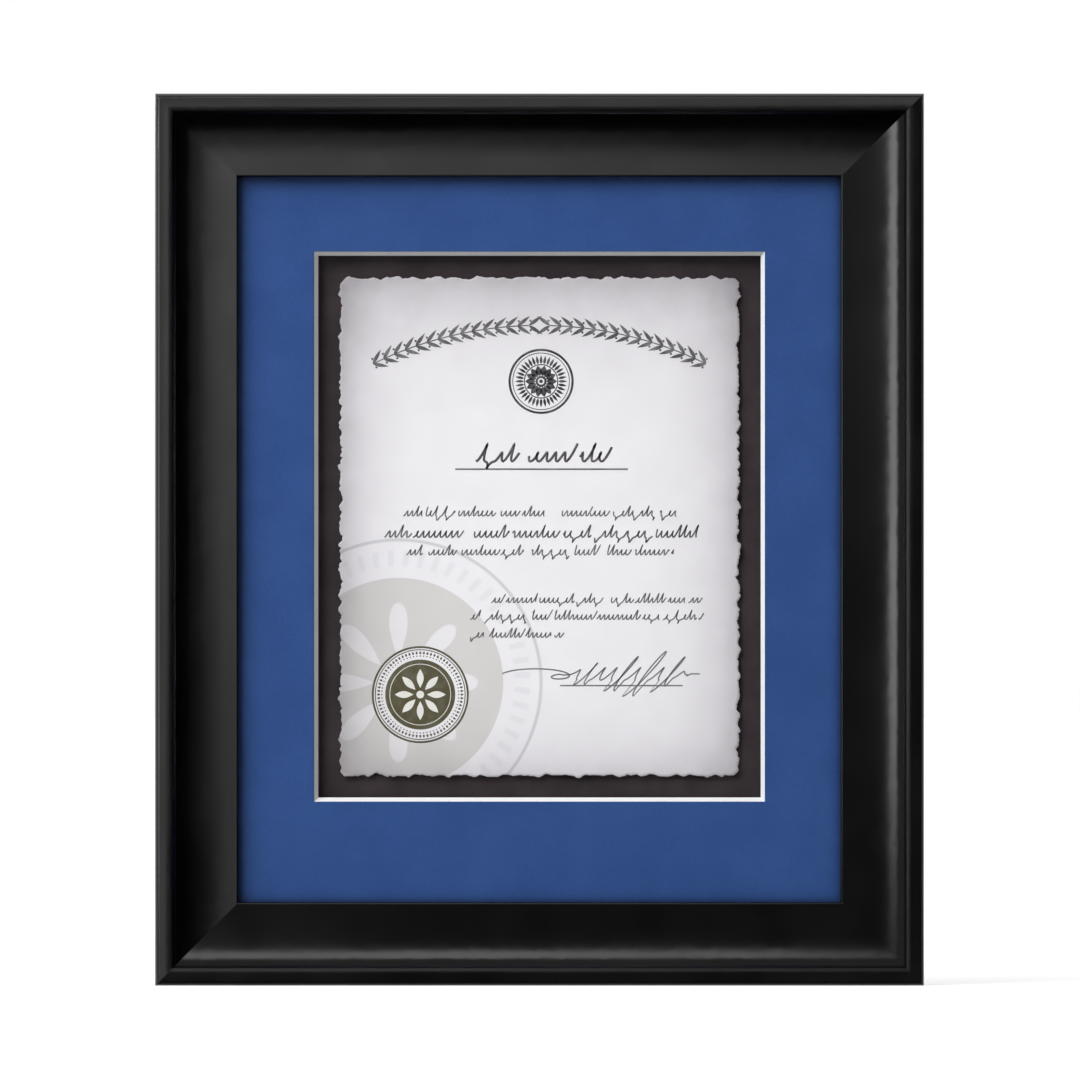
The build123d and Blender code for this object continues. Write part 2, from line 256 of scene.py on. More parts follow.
moulding = {
    "black": (3, 3, 4),
    "blackSmear": (6, 6, 7),
    "roughness": 0.19,
    "roughnessSpread": 0.018,
    "pale": (216, 187, 146),
    "dark": (178, 142, 99),
    "pore": (96, 68, 42),
    "poreShow": 0.35,
    "woodRoughness": 0.75,
    "paintedHighlight": (56, 56, 58),    # painted highlight: the outer arris is painted paler, for the light it catches
    "paintedHighlightFrom": 0.9 * mm,
    "paintedHighlightTo": 1.9 * mm,
    "lipDrop": 2.2 * mm,       # how deep the painted highlight reaches, and how softly it ends
    "lipFade": 0.5 * mm,
    "quirkRoughness": 0.42,    # the spray settles duller in the quirk, between these distances from the edge
    "quirkNear": (6.2 * mm, 8.2 * mm),
    "quirkFar": (9.7 * mm, 10.6 * mm),
    "overspray": 2.2 * mm,     # how far the black reaches round onto the back
    "mistEdge": (-0.5 * mm, 1.1 * mm),
    "backDepth": (13.1 * mm, 13.2 * mm),
}


def mouldingFinish(name, grainTurn):
    plan = moulding
    material, tree, spot = newMaterial(name)
    marks = place(tree, handlingMarks, {"Vector": spot, "Smear Scale": 22.0})
    grain = place(tree, woodGrain, {"Vector": stretched(tree, spot, turn=grainTurn)})
    x, y, z = split(tree, spot)
    edgeX = minus(tree, cadBox[1].x, calc(tree, "ABSOLUTE", x))
    halfHigh = (cadBox[1].z - cadBox[0].z) / 2
    edgeZ = minus(tree, halfHigh, calc(tree, "ABSOLUTE", minus(tree, z, halfHigh)))
    edge = calc(tree, "MINIMUM", edgeX, edgeZ)
    mist = times(tree, grainNoise(tree, spot, 420.0, 4.0, 0.7), 2 * plan["overspray"])
    sprayed = smooth(tree, minus(tree, edge, mist), *plan["mistEdge"], 1.0, 0.0)
    bare = times(tree, smooth(tree, y, *plan["backDepth"]), minus(tree, 1.0, sprayed))
    wood = between(tree, grain["Figure"], plan["pale"], plan["dark"])
    wood = blend(tree, times(tree, grain["Pores"], plan["poreShow"]), wood, pictureColour(*plan["pore"]))
    black = between(tree, marks["Smear"], plan["black"], plan["blackSmear"])
    # painted highlight: the black is painted paler on the outer arris of the lip
    lipEnd = cadBox[0].y + plan["lipDrop"]
    nearLip = smooth(tree, y, lipEnd, lipEnd + plan["lipFade"], 1.0, 0.0)
    nearEdge = smooth(tree, edge, plan["paintedHighlightFrom"], plan["paintedHighlightTo"], 1.0, 0.0)
    black = blend(tree, times(tree, nearLip, nearEdge), black, pictureColour(*plan["paintedHighlight"]))
    middle, spread = plan["roughness"], plan["roughnessSpread"]
    gloss = smooth(tree, marks["Smear"], 0.0, 1.0, middle - spread, middle + spread)
    inQuirk = times(tree, smooth(tree, edge, *plan["quirkNear"]),
                    smooth(tree, edge, *plan["quirkFar"], 1.0, 0.0))
    gloss = plus(tree, gloss, times(tree, inQuirk, plan["quirkRoughness"] - middle))
    gloss = times(tree, gloss, minus(tree, 1.0, bare))
    orangePeel = times(tree, grainNoise(tree, spot, 900.0), 0.05)
    pores = times(tree, times(tree, grain["Pores"], bare), -2.0)
    finishWith(tree, Base_Color=blend(tree, bare, black, wood),
               Roughness=plus(tree, gloss, times(tree, bare, plan["woodRoughness"])),
               Normal=bump(tree, plus(tree, orangePeel, pores), 0.5, 0.05 * mm))
    return material


paint(["rail_top", "rail_bottom"], mouldingFinish("satinBlackAcross", (0, math.radians(90), 0)))
paint(["rail_left", "rail_right"], mouldingFinish("satinBlackUpright", (0, 0, 0)))
print("moulding finished")


# Boards: blue mat with a white core, dark mount board, foam boards, hardboard back and hinge tissue

boards = {
    "matBlue": (46, 77, 135),
    "matBlueLight": (51, 83, 142),
    "matFibre": (30, 56, 108),
    "matCore": (200, 201, 208),
    "matCoreLight": (222, 221, 216),
    "matPly": (0.22 * mm, 0.26 * mm),      # where the blue paper ends and the core begins
    "matShade": 0.6,                       # painted shade: the mat's colour is darkened beside the rails, where their shadow falls
    "matShadeColour": (4, 6, 12),
    "matShadeReach": {"left": 4.6 * mm, "right": 2.3 * mm, "bottom": 2.3 * mm, "top": 4.2 * mm},
    "mountDark": (54, 48, 51),
    "mountLight": (64, 57, 60),
    "foamPaper": (236, 235, 230),
    "foamPaperDull": (224, 222, 215),
    "hardboard": (118, 81, 53),
    "hardboardLight": (130, 91, 61),
    "strand": (164, 124, 88),
    "fleck": (78, 50, 30),
    "tissue": (244, 241, 232),
    "tissueDull": (226, 222, 210),
}

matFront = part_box("window_mat")[0].y


def fibreOf(tree, spot, fibreScale, cloudScale):
    return place(tree, boardFibre, {"Vector": spot, "Fibre Scale": fibreScale, "Cloud Scale": cloudScale})


def roughFinish(tree, colour, roughness, height, strength, depth, specular=0.5):
    finishWith(tree, Base_Color=colour, Roughness=roughness, Specular_IOR_Level=specular,
               Normal=bump(tree, height, strength, depth))


mat, tree, spot = newMaterial("blueMatBoard")
fibre = fibreOf(tree, spot, 1300.0, 28.0)
x, y, z = split(tree, spot)
face = between(tree, smooth(tree, fibre["Cloud"], 0.3, 0.7), boards["matBlue"], boards["matBlueLight"])
raised = smooth(tree, fibre["Height"], 0.35, 0.7, 0.0, 0.22)
face = blend(tree, raised, face, pictureColour(*boards["matFibre"]))
sightLow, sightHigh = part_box("rail_left")[1].x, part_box("rail_bottom")[1].z
# painted shade: each side of the mat is darkened towards the rail beside it, wider on the left and top
for across, start, sign, side in (
    (x, sightLow, -1, "left"), (x, -sightLow, 1, "right"),
    (z, sightHigh, -1, "bottom"), (z, cadBox[1].z - sightHigh, 1, "top"),
):
    inside = times(tree, minus(tree, across, start), sign / boards["matShadeReach"][side])
    paintedShade = calc(tree, "MINIMUM", times(tree, calc(tree, "EXPONENT", inside), boards["matShade"]), 0.9)
    face = blend(tree, paintedShade, face, pictureColour(*boards["matShadeColour"]))
isCore = smooth(tree, y, *[matFront + depth for depth in boards["matPly"]])
core = between(tree, fibre["Height"], boards["matCore"], boards["matCoreLight"])
roughFinish(tree, blend(tree, isCore, face, core), 0.86, fibre["Height"], 0.35, 0.06 * mm, 0.25)
paint(["window_mat"], mat)

mount, tree, spot = newMaterial("darkMountBoard")
fibre = fibreOf(tree, spot, 900.0, 60.0)
tone = between(tree, smooth(tree, fibre["Cloud"], 0.3, 0.7), boards["mountDark"], boards["mountLight"])
roughFinish(tree, tone, 0.92, fibre["Height"], 0.5, 0.08 * mm, 0.15)
paint(["mount_board"], mount)

foam, tree, spot = newMaterial("foamBoard")
fibre = fibreOf(tree, spot, 1000.0, 90.0)
tone = between(tree, fibre["Cloud"], boards["foamPaper"], boards["foamPaperDull"])
roughFinish(tree, tone, 0.8, fibre["Height"], 0.3, 0.05 * mm, 0.3)
paint(["float_board", "filler_board"], foam)
paint(["mat_lifter_" + side for side in ("top", "bottom", "left", "right")], foam)

hardboard, tree, spot = newMaterial("hardboard")
fibre = fibreOf(tree, spot, 700.0, 34.0)
tone = between(tree, smooth(tree, fibre["Cloud"], 0.25, 0.75), boards["hardboard"], boards["hardboardLight"])
flecks = smooth(tree, grainNoise(tree, spot, 620.0, 4.0, 0.75), 0.54, 0.7, 0.0, 0.6)
laid = stretched(tree, spot, (1, 1, 0.25), (0, 0.9, 0))
strands = smooth(tree, grainNoise(tree, laid, 900.0, 2.0, 0.6), 0.56, 0.7, 0.0, 0.4)
tone = blend(tree, strands, tone, pictureColour(*boards["strand"]))
tone = blend(tree, flecks, tone, pictureColour(*boards["fleck"]))
roughFinish(tree, tone, 0.55, fibre["Height"], 0.4, 0.06 * mm)
paint(["backing_board"], hardboard)

tissue, tree, spot = newMaterial("hingeTissue")
fibre = fibreOf(tree, spot, 1600.0, 200.0)
tone = between(tree, fibre["Height"], boards["tissue"], boards["tissueDull"])
roughFinish(tree, tone, 0.9, fibre["Height"], 0.5, 0.03 * mm)
paint(["hinge_tapes"], tissue)
print("boards finished")


# Hardware: zinc-plated steel, brighter screws, rubber bumpers

hardware = {
    "zinc": (186, 188, 189),
    "zincTint": (178, 176, 160),
    "zincRoughness": 0.34,
    "screw": (200, 199, 194),
    "screwTint": (182, 181, 176),
    "screwRoughness": 0.26,
    "nail": (104, 105, 108),
    "nailTint": (120, 116, 112),
    "nailRoughness": 0.4,
    "scratch": (226, 226, 226),
    "rubber": (38, 38, 39),
    "rubberWorn": (52, 51, 50),
    "arris": 0.14 * mm,
    "arrisAngle": math.radians(40),
}


def platedSteel(name, kind, smearScale):
    material, tree, spot = newMaterial(name)
    marks = place(tree, handlingMarks, {"Vector": spot, "Smear Scale": smearScale, "Scratch Scale": 700.0})
    colour = between(tree, marks["Smear"], hardware[kind], hardware[kind + "Tint"])
    colour = blend(tree, times(tree, marks["Scratch"], 0.5), colour, pictureColour(*hardware["scratch"]))
    gloss = plus(tree, times(tree, marks["Smear"], 0.12), hardware[kind + "Roughness"])
    height = plus(tree, grainNoise(tree, spot, 900.0), times(tree, marks["Scratch"], -1.5))
    finishWith(tree, Base_Color=colour, Metallic=1.0, Roughness=gloss,
               Normal=bump(tree, height, 0.3, 0.02 * mm))
    return material


buttonNames = [name for name in cadNodes if name.startswith("turn_button_") and name != "turn_button_screws"]
strapNames = ["hanger_strap_left", "hanger_strap_right"]
zinc = platedSteel("zincPlate", "zinc", 160.0)
paint([*buttonNames, *strapNames, "hanger_ring_left", "hanger_ring_right"], zinc)
paint(["turn_button_screws", "hanger_screws"], platedSteel("screwSteel", "screw", 300.0))
paint(["corner_v_nails"], platedSteel("nailSteel", "nail", 240.0))

for name in buttonNames + strapNames:
    join = cadNodes[name].modifiers.new("Join", "WELD")       # the solids come as loose triangles
    join.merge_threshold = 0.002 * mm
    arris = cadNodes[name].modifiers.new("Arris", "BEVEL")
    arris.width, arris.segments = hardware["arris"], 2
    arris.limit_method, arris.angle_limit = "ANGLE", hardware["arrisAngle"]
    arris.harden_normals = True

rubber, tree, spot = newMaterial("bumperRubber")
marks = place(tree, handlingMarks, {"Vector": spot, "Smear Scale": 220.0})
tone = between(tree, marks["Smear"], hardware["rubber"], hardware["rubberWorn"])
roughFinish(tree, tone, 0.7, grainNoise(tree, spot, 1400.0, 3.0, 0.6), 0.4, 0.03 * mm)
paint(["wall_bumper_left", "wall_bumper_right"], rubber)
print("hardware finished")


# Glass: clear, and it lets the lamps through to what it covers

glassStyle = {
    "ior": 1.5,
    "tint": (253, 254, 253),
    "shrink": 0.04 * mm,      # keeps its faces clear of the mat and the rabbet
    "arris": 0.25 * mm,
}

glass, tree, spot = newMaterial("clearGlass")
pane = made(tree, "ShaderNodeBsdfPrincipled", {
    "Base Color": pictureColour(*glassStyle["tint"]), "Roughness": 0.0, "IOR": glassStyle["ior"],
    "Transmission Weight": 1.0,
    "Normal": bump(tree, grainNoise(tree, spot, 3.0, 1.0, 0.4), 0.02, 0.2 * mm),
})
# lamps and bounced light pass straight through
direct = put(tree, "ShaderNodeLightPath").outputs["Is Camera Ray"]
passing = made(tree, "ShaderNodeMixShader", {0: direct, 1: made(tree, "ShaderNodeBsdfTransparent"), 2: pane})
put(tree, "ShaderNodeOutputMaterial", {"Surface": passing})


def glassPane():
    low, high = [Vector(corner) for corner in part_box("glass_pane")]
    inset = Vector([glassStyle["shrink"]] * 3)
    size, middle = high - low - 2 * inset, (low + high) / 2
    shape = bmesh.new()
    bmesh.ops.create_cube(shape, size=1.0, matrix=Matrix.Translation(middle) @ Matrix.Diagonal((*size, 1)))
    bmesh.ops.bevel(shape, geom=shape.edges[:], offset=glassStyle["arris"], segments=1, affect="EDGES")
    bmesh.ops.recalc_face_normals(shape, faces=shape.faces[:])
    mesh = bpy.data.meshes.new("clear_pane")
    shape.to_mesh(mesh)
    shape.free()
    mesh.materials.append(glass)
    return mesh


addPiece(glassPane(), "clear_pane", replaced=["glass_pane"])
print("glass finished")


# Sheet: heavy paper with a torn, feathered edge that stands a little off its float board

sheetLow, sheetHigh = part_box("certificate_sheet")
windowCentre = Vector((0, sheetLow.y, (sheetLow.z + sheetHigh.z) / 2))

sheetStyle = {
    "width": 203.2 * mm,
    "height": 254.0 * mm,
    "thickness": 0.35 * mm,
    "waveDepth": 0.95 * mm,     # long waves of the torn edge, as the solid has them
    "wave": 23.0 * mm,
    "waveShares": (1.0, 0.47, 0.29),
    "waveHeights": (0.34, 0.38, 0.28),
    "spread": 0.35 * mm,        # how far the teeth reach past the mean size
    "toothDepth": {"side": 0.95 * mm, "end": 0.55 * mm},
    "toothPitch": {"side": 2.6 * mm, "end": 2.7 * mm},
    "nick": 0.16,               # the edge is nicked where a slow noise comes this near to zero
    "chips": (1.6 * mm, 2.3 * mm, 1.9 * mm, 2.6 * mm),
    "cornerCalm": 2 * mm,
    "step": 0.42 * mm,
    "feather": 0.9 * mm,
    "featherShare": 0.82,       # of the thickness, gone at the very edge
    "lift": 0.55 * mm,
    "liftScale": 28,
    "rings": (0, 0.22, 0.5, 0.9, 1.5, 2.4, 4, 7, 12, 18),   # mm in from the edge
    "white": (242, 240, 244),
    "sideShade": (0.42, 15 * mm),      # how much darker the paper is at its edge, and how far in that fades
    "topShade": (0.42, 26 * mm),
    "bottomShade": (0.3, 15 * mm),
}

# Faint print in the paper itself, low on the left: a ring, a band of small marks and a pale disc with
# a rosette. It stops round the seal, whose middle and radius are given too. Places and sizes in mm.
faintPlan = {
    "centre": (-72.2, 154.5),
    "ring": 73.0,
    "ringWidth": 0.8,
    "ringTone": (0.76, 0.755, 0.765),
    "band": (59.5, 67.5),
    "bandMarks": 52,
    "bandLean": 0.05,
    "bandTone": (0.93, 0.93, 0.935),
    "disc": 53.6,
    "discTone": (0.785, 0.775, 0.745),
    "petals": 8,
    "petalReach": (7.0, 47.0),
    "petalBulge": 0.38,
    "petalEdge": (1.16, 1.2),
    "petalTone": (0.95, 0.95, 0.94),
    "sealCentre": (-61.0, 148.4),
    "sealRadius": 24.3,
}


def tornEdge():
    # points round the sheet as (outer point, inner point), with a chipped corner between sides
    style = sheetStyle
    deep = style["rings"][-1] * mm
    left, right = -style["width"] / 2, style["width"] / 2
    low, high = windowCentre.z - style["height"] / 2, windowCentre.z + style["height"] / 2
    sides = (
        (Vector((left, 0, low)), Vector((1, 0, 0)), style["width"], "end"),
        (Vector((right, 0, low)), Vector((0, 0, 1)), style["height"], "side"),
        (Vector((right, 0, high)), Vector((-1, 0, 0)), style["width"], "end"),
        (Vector((left, 0, high)), Vector((0, 0, -1)), style["height"], "side"),
    )
    points = []
    for side, (corner, run, length, kind) in enumerate(sides):
        outward = Vector((run.z, 0, -run.x))
        chipBefore, chipAfter = style["chips"][side], style["chips"][(side + 1) % 4]
        start, end = chipBefore / 2, length - chipAfter / 2
        count = int((end - start) / style["step"])
        for index in range(count):
            along = start + (end - start) * index / count
            long = style["waveDepth"] * sum(
                height * math.sin(2 * math.pi * along / (style["wave"] * share) + side * (2 + order))
                for order, (share, height) in enumerate(zip(style["waveShares"], style["waveHeights"]))
            )
            spotNoise = Vector((along / style["toothPitch"][kind], side * 7.3, 0.5))
            slow = abs(noise.noise(spotNoise * 0.8 + Vector((0, 3, 0))))
            tooth = style["toothDepth"][kind] * (
                noise.noise(spotNoise) + 0.5 * noise.noise(spotNoise * 2.3)
                - 1.1 * max(0, style["nick"] - slow) / style["nick"] * 0.6
            )
            fade = min(1, (along - start) / style["cornerCalm"], (end - along) / style["cornerCalm"])
            chip = max(0, chipBefore - along, chipAfter - (length - along))
            outer = corner + run * along + outward * (style["spread"] + (long + tooth) * fade - chip)
            share = (along - start) / (end - start)
            inner = corner + run * (deep + (length - 2 * deep) * share) - outward * deep
            points.append((outer, inner))
    return points


def tornSheet(material):
    style = sheetStyle
    outline = tornEdge()
    front = windowCentre.y
    vertices, faces = [], []

    def ring(depth, back):
        share = depth * mm / (style["rings"][-1] * mm)
        feather = max(0, 1 - depth * mm / style["feather"])
        for outer, inner in outline:
            spot = outer.lerp(inner, share)
            rise = style["lift"] * (1 - share) ** 2 * max(0, 0.25 + noise.noise(spot * style["liftScale"]))
            thin = style["thickness"] * (style["featherShare"] * feather ** 1.3)
            depthY = front - rise + (style["thickness"] if back else thin)
            vertices.append((spot.x, depthY, spot.z))

    for depth in style["rings"]:
        ring(depth, False)
    for depth in style["rings"]:
        ring(depth, True)
    around, layers = len(outline), len(style["rings"])
    for side in (0, 1):
        base = side * around * layers
        for layer in range(layers - 1):
            for index in range(around):
                nextIndex = (index + 1) % around
                a = base + layer * around + index
                b = base + layer * around + nextIndex
                c, d = b + around, a + around
                faces.append((a, b, c, d) if side == 0 else (d, c, b, a))
        rim = [base + (layers - 1) * around + index for index in range(around)]
        faces.append(rim if side == 0 else rim[::-1])
    for index in range(around):
        nextIndex = (index + 1) % around
        faces.append((nextIndex, index, index + around * layers, nextIndex + around * layers))
    mesh = bpy.data.meshes.new("deckled_sheet")
    mesh.from_pydata(vertices, [], faces)
    mesh.materials.append(material)
    mesh.update()
    return mesh


def faintPrint(tree, x, z, colour):
    plan = faintPlan

    def measured(centre):
        # how far from the centre in mm, and at what angle
        across, up = minus(tree, x, centre[0] * mm), minus(tree, z, centre[1] * mm)
        far = calc(tree, "SQRT", plus(tree, times(tree, across, across), times(tree, up, up)))
        return calc(tree, "DIVIDE", far, mm), calc(tree, "ARCTAN2", up, across)

    def within(value, limit, soft):
        return smooth(tree, value, limit - soft, limit + soft, 1.0, 0.0)

    def beyond(value, limit, soft):
        return smooth(tree, value, limit - soft, limit + soft)

    far, angle = measured(plan["centre"])
    clear = beyond(measured(plan["sealCentre"])[0], plan["sealRadius"], 0.2)
    disc = times(tree, within(far, plan["disc"], 0.3), clear)
    swell = calc(tree, "ABSOLUTE", calc(tree, "COSINE", times(tree, angle, plan["petals"] / 2)))
    start, end = plan["petalReach"]
    run = calc(tree, "DIVIDE", minus(tree, far, start), end - start, clamp=True)
    bulge = times(tree, calc(tree, "SINE", times(tree, run, math.pi)), plan["petalBulge"])
    petal = times(tree, smooth(tree, plus(tree, swell, bulge), *plan["petalEdge"]), disc)
    off = calc(tree, "ABSOLUTE", minus(tree, far, plan["ring"]))
    ring = times(tree, within(off, plan["ringWidth"], 0.4), clear)
    inner, outer = plan["band"]
    lean = calc(tree, "MULTIPLY_ADD", far, plan["bandLean"], times(tree, angle, plan["bandMarks"]))
    marks = smooth(tree, calc(tree, "COSINE", lean), 0.1, 0.6)
    inBand = times(tree, beyond(far, inner, 0.4), within(far, outer, 0.4))
    marks = times(tree, times(tree, marks, inBand), clear)
    plainDisc = calc(tree, "SUBTRACT", disc, petal, clamp=True)
    masks = {"ringTone": ring, "bandTone": marks, "discTone": plainDisc, "petalTone": petal}
    for tone, mask in masks.items():
        colour = blend(tree, mask, colour, blend(tree, 1.0, colour, [*plan[tone], 1], "MULTIPLY"))
    return colour


def sheetPaper():
    style = sheetStyle
    material, tree, spot = newMaterial("handmadePaper")
    fibre = fibreOf(tree, spot, 1100.0, 55.0)
    x, y, z = split(tree, spot)
    toSide = minus(tree, style["width"] / 2, calc(tree, "ABSOLUTE", x))
    fromMiddle = minus(tree, z, windowCentre.z)
    toTop = minus(tree, style["height"] / 2, fromMiddle)
    toBottom = plus(tree, style["height"] / 2, fromMiddle)
    shade = 1.0
    for distance, name in ((toSide, "sideShade"), (toTop, "topShade"), (toBottom, "bottomShade")):
        depth, reach = style[name]
        fall = times(tree, calc(tree, "EXPONENT", calc(tree, "DIVIDE", distance, -reach)), depth)
        shade = times(tree, shade, minus(tree, 1.0, fall))
    clouds = times(tree, minus(tree, fibre["Cloud"], 0.5), 0.32)
    clouds = times(tree, clouds, minus(tree, 1.3, shade))      # stronger where the paper is darker
    shade = calc(tree, "ADD", shade, clouds, clamp=True)
    cool = calc(tree, "MULTIPLY_ADD", shade, 1.03, -0.03)
    grey = made(tree, "ShaderNodeCombineColor", {"Red": shade, "Green": cool, "Blue": shade})
    colour = blend(tree, 1.0, pictureColour(*style["white"]), grey, "MULTIPLY")
    roughFinish(tree, faintPrint(tree, x, z, colour), 0.88, fibre["Height"], 0.25, 0.05 * mm, 0.2)
    return material


addPiece(tornSheet(sheetPaper()), "deckled_sheet", replaced=["certificate_sheet"])
print("sheet finished")


# Print: plain ornament and illegible lines in place of wording, each a thin closed film on the sheet.
# The trees draw flat on XY, facing up; grown() stands the result up on the sheet's face.

inkLook = {
    "dark": (56, 54, 58),
    "soft": (84, 82, 87),
    "line": (100, 98, 103),
    "grey": (112, 110, 115),
    "olive": (84, 80, 56),
    "pale": (233, 232, 226),
    "worn": (180, 179, 180),
    "film": 0.03 * mm,
    "weld": 0.003 * mm,
}

shapeSocket, materialSocket = "NodeSocketGeometry", "NodeSocketMaterial"


def shapeTree(name, inputs):
    return newGroup(name, inputs, {"Shape": shapeSocket}, "GeometryNodeTree")


def printTree(name, inputs):
    return shapeTree(name, {**inputs, "Film": inkLook["film"], "Material": materialSocket})


def joined(tree, *parts):
    node = put(tree, "GeometryNodeJoinGeometry")
    for part in parts:
        tree.links.new(part, node.inputs["Geometry"])
    return node.outputs["Geometry"]


def vectorOf(tree, x=0.0, y=0.0, z=0.0):
    return made(tree, "ShaderNodeCombineXYZ", {"X": x, "Y": y, "Z": z})


def endPrint(tree, shape, material, result):
    real = made(tree, "GeometryNodeRealizeInstances", {"Geometry": shape})
    inked = made(tree, "GeometryNodeSetMaterial", {"Geometry": real, "Material": material})
    tree.links.new(inked, result["Shape"])


def grown(group, name, values, centre=(0, 0), proud=0.0):
    # runs a tree with its values and returns the mesh, upright on the sheet, its zero at centre (x, z in mm)
    seed = bpy.data.objects.new("seed", bpy.data.meshes.new("seed"))
    bpy.context.scene.collection.objects.link(seed)
    modifier = seed.modifiers.new("tree", "NODES")
    modifier.node_group = group
    for item in group.interface.items_tree:
        if item.name in values:
            modifier[item.identifier] = values[item.name]
    graph = bpy.context.evaluated_depsgraph_get()
    mesh = bpy.data.meshes.new_from_object(seed.evaluated_get(graph), depsgraph=graph)
    seed.modifiers.remove(modifier)
    bpy.data.objects.remove(seed)
    stand = Matrix.Translation((centre[0] * mm, windowCentre.y - proud, centre[1] * mm))
    mesh.transform(stand @ Matrix.Rotation(math.radians(90), 4, "X"))
    mesh.name = name
    return mesh


# a flat shape made a closed film
inkFilm, given, result = shapeTree("Ink Film", {"Shape": shapeSocket, "Film": inkLook["film"]})
tree = inkFilm
clean = made(tree, "GeometryNodeMergeByDistance", {"Geometry": given["Shape"], "Distance": inkLook["weld"]})
raised = made(tree, "GeometryNodeExtrudeMesh", {
    "Mesh": clean, "Offset": (0, 0, 1), "Offset Scale": given["Film"], "Individual": False,
})
both = joined(tree, raised, made(tree, "GeometryNodeFlipFaces", {"Mesh": clean}))
closed = made(tree, "GeometryNodeMergeByDistance", {"Geometry": both, "Distance": inkLook["weld"]})
tree.links.new(closed, result["Shape"])

# a line of ink along a flat curve
inkStroke, given, result = shapeTree("Ink Stroke", {
    "Curve": shapeSocket, "Width": 0.4 * mm, "Film": inkLook["film"],
})
tree = inkStroke
level = made(tree, "GeometryNodeSetCurveNormal", {"Curve": given["Curve"]}, mode="Z_UP")
nib = made(tree, "GeometryNodeCurvePrimitiveQuadrilateral", {
    "Width": given["Width"], "Height": given["Film"],
})
drawn = made(tree, "GeometryNodeCurveToMesh", {"Curve": level, "Profile Curve": nib, "Fill Caps": True})
rise = vectorOf(tree, z=times(tree, given["Film"], 0.5))
lifted = made(tree, "GeometryNodeSetPosition", {"Geometry": drawn, "Offset": rise})
tree.links.new(lifted, result["Shape"])

# a leaf or petal that runs from zero along X
leafShape, given, result = shapeTree("Leaf", {"Length": 9 * mm, "Width": 3 * mm, "Fullness": 0.75})
tree = leafShape
blade = made(tree, "GeometryNodeMeshGrid", {"Size X": 1.0, "Size Y": 1.0, "Vertices X": 9, "Vertices Y": 3})
x, y, z = split(tree, made(tree, "GeometryNodeInputPosition"))
run = calc(tree, "ADD", x, 0.5, clamp=True)
bulge = calc(tree, "SINE", times(tree, calc(tree, "POWER", run, given["Fullness"]), math.pi))
wide = times(tree, times(tree, y, given["Width"]), bulge)
shaped = vectorOf(tree, times(tree, run, given["Length"]), wide)
leafOut = made(tree, "GeometryNodeSetPosition", {"Geometry": blade, "Position": shaped})
tree.links.new(leafOut, result["Shape"])

# copies of a shape round a circle, each turned outwards
roundRow, given, result = shapeTree("Round Row", {"Shape": shapeSocket, "Count": 16, "Radius": 8 * mm})
tree = roundRow
seats = made(tree, "GeometryNodeMeshCircle", {"Vertices": given["Count"], "Radius": given["Radius"]})
outwards = made(tree, "FunctionNodeAlignRotationToVector", {
    "Vector": made(tree, "GeometryNodeInputPosition"),
}, axis="X", pivot_axis="Z")
row = made(tree, "GeometryNodeInstanceOnPoints", {
    "Points": seats, "Instance": given["Shape"], "Rotation": outwards,
})
tree.links.new(made(tree, "GeometryNodeRealizeInstances", {"Geometry": row}), result["Shape"])


def strokeAlong(tree, line, width, film):
    return place(tree, inkStroke, {"Curve": line, "Width": width, "Film": film})["Shape"]


def inkRing(tree, radius, width, film):
    circle = made(tree, "GeometryNodeCurvePrimitiveCircle", {"Resolution": 120, "Radius": radius})
    return strokeAlong(tree, circle, width, film)


def inkDisc(tree, radius, film, vertices=96):
    disc = made(tree, "GeometryNodeMeshCircle", {"Vertices": vertices, "Radius": radius}, fill_type="NGON")
    return place(tree, inkFilm, {"Shape": disc, "Film": film})["Shape"]


def petalRow(tree, count, start, length, width, film, fullness=0.75):
    petal = place(tree, leafShape, {"Length": length, "Width": width, "Fullness": fullness})["Shape"]
    around = place(tree, roundRow, {"Shape": petal, "Count": count, "Radius": start})["Shape"]
    return place(tree, inkFilm, {"Shape": around, "Film": film})["Shape"]


# Heading: a laurel garland along an arch, its two branches meeting over the emblem

garlandPlan = {
    "centre": (0.0, 142.7),
    "Arch Radius": 194.5 * mm,
    "Half Angle": math.radians(26.0),
    "Gap Angle": math.radians(1.6),
    "Leaves": 15,
    "Leaf Length": 8.4 * mm,
    "Leaf Width": 1.9 * mm,
    "Spread": math.radians(35),
    "Stem Width": 0.6 * mm,
    "Berry Radius": 0.6 * mm,
    "Berry Reach": 2.6 * mm,
}

